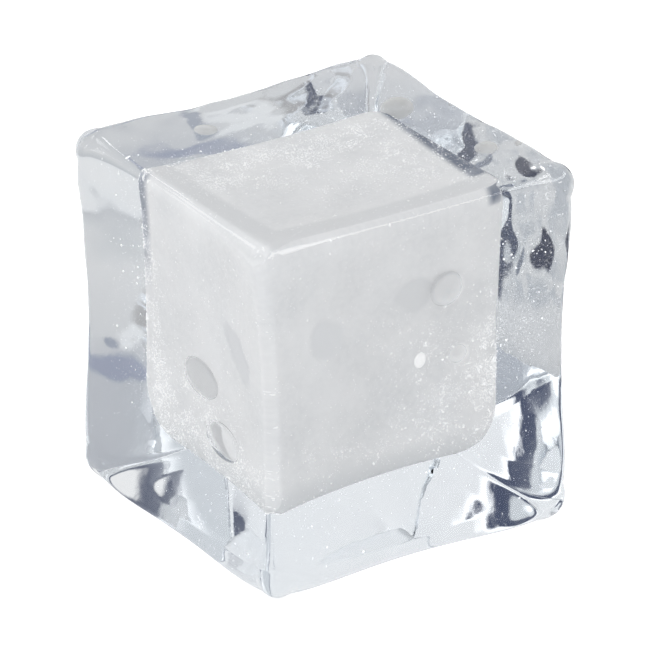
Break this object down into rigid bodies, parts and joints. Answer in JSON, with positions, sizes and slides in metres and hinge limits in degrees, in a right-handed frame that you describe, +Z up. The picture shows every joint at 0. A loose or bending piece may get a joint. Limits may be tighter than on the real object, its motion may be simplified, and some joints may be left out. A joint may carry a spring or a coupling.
{
  "type": "ice block",
  "caption": "Clear ice cube with hollow faces, rounded corners and a cloudy white core, standing on the flat rim of its base.",
  "frame": {"origin": "on the ground under the middle of the block", "axes": "+Z up; +X and +Y along the block's horizontal edges, with the two faces that the core lies nearest looking towards -X and -Y"},
  "size_m": [0.0469, 0.0463, 0.0492],
  "materials": {
    "clear_ice": "clear wet ice",
    "cloudy_ice": "white ice full of fine bubbles"
  },
  "bodies": {
    "root": {"clear_ice_lower": "clear_ice", "clear_ice_upper": "clear_ice", "cloudy_core": "cloudy_ice"}
  },
  "joints": []
}
